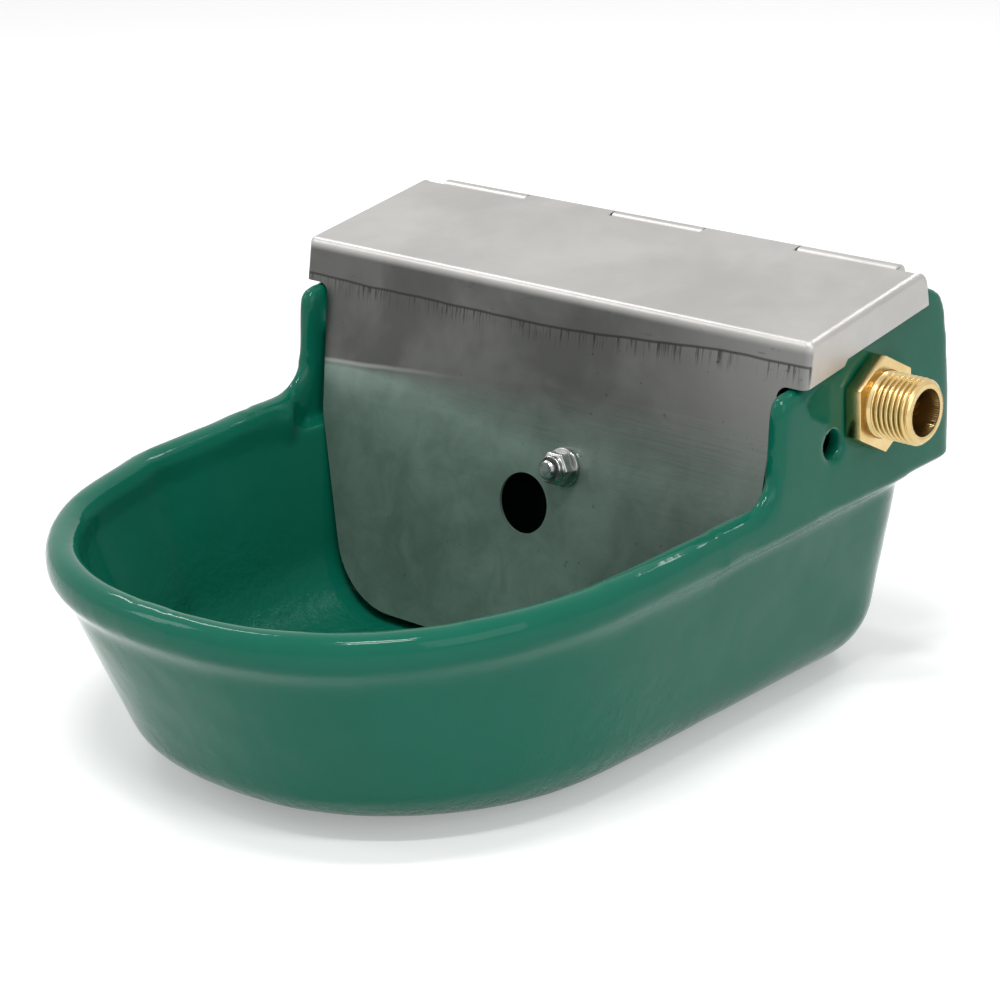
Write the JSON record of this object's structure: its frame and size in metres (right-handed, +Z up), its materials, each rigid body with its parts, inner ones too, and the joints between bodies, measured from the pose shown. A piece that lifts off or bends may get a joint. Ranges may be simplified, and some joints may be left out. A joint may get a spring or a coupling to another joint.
{
  "type": "livestock drinking bowl",
  "caption": "Float-fed drinking bowl: enamelled iron trough with a hinged sheet cover and baffle over the float chamber, and a threaded side inlet.",
  "frame": {"origin": "centre of the level base, under the middle of the rim's length", "axes": "+X towards the water inlet, +Y towards the mounting back, +Z up"},
  "size_m": [0.2268, 0.2581, 0.1366],
  "materials": {
    "enamelled_iron": "dark green gloss enamel",
    "stainless_sheet": "brushed",
    "stainless_rod": "smooth",
    "brass": "machined",
    "zinc_steel": "bright zinc",
    "rubber": "matt",
    "nylon": "satin",
    "float_plastic": "satin"
  },
  "bodies": {
    "bowl": {"bowl_casting": "enamelled_iron", "hinge_leaf": "stainless_sheet", "hinge_pin": "stainless_rod", "hinge_screws": "stainless_rod", "valve_body": "brass", "lock_nut": "brass", "inlet_washer": "rubber", "valve_nozzle": "brass", "valve_cap": "brass", "lever_pin": "stainless_rod"},
    "cover": {"cover": "stainless_sheet", "latch_bolt": "zinc_steel", "front_washer": "zinc_steel", "latch_nut": "zinc_steel", "latch_nut_ring": "nylon", "latch_bush": "zinc_steel", "rear_washer": "zinc_steel"},
    "latch": {"cover_latch": "stainless_sheet"},
    "float": {"float_arm": "brass", "float": "float_plastic", "float_nuts": "brass"},
    "plunger": {"plunger": "brass", "plunger_seal": "rubber"}
  },
  "joints": [
    {"name": "cover_hinge", "type": "hinge", "parent": "bowl", "child": "cover", "pos_m": [0, 0.10658, 0.13342], "axis": [-1, 0, 0], "range_deg": [0, 95]},
    {"name": "latch_turn", "type": "hinge", "parent": "cover", "child": "latch", "pos_m": [0.016, 0.03744, 0.07301], "axis": [0, -0.9851, 0.1719], "range_deg": [0, 90]},
    {"name": "float_swing", "type": "hinge", "parent": "bowl", "child": "float", "pos_m": [0.06991, 0.08197, 0.08331], "axis": [0, 0.9996, 0.0297], "range_deg": [0, 12]},
    {"name": "plunger_slide", "type": "slide", "parent": "bowl", "child": "plunger", "axis": [1, 0, 0], "range_m": [0, 0.00356]}
  ],
  "couplings": [
    {"joint": "plunger_slide", "follows": "float_swing", "m_per_rad": 0.017}
  ]
}
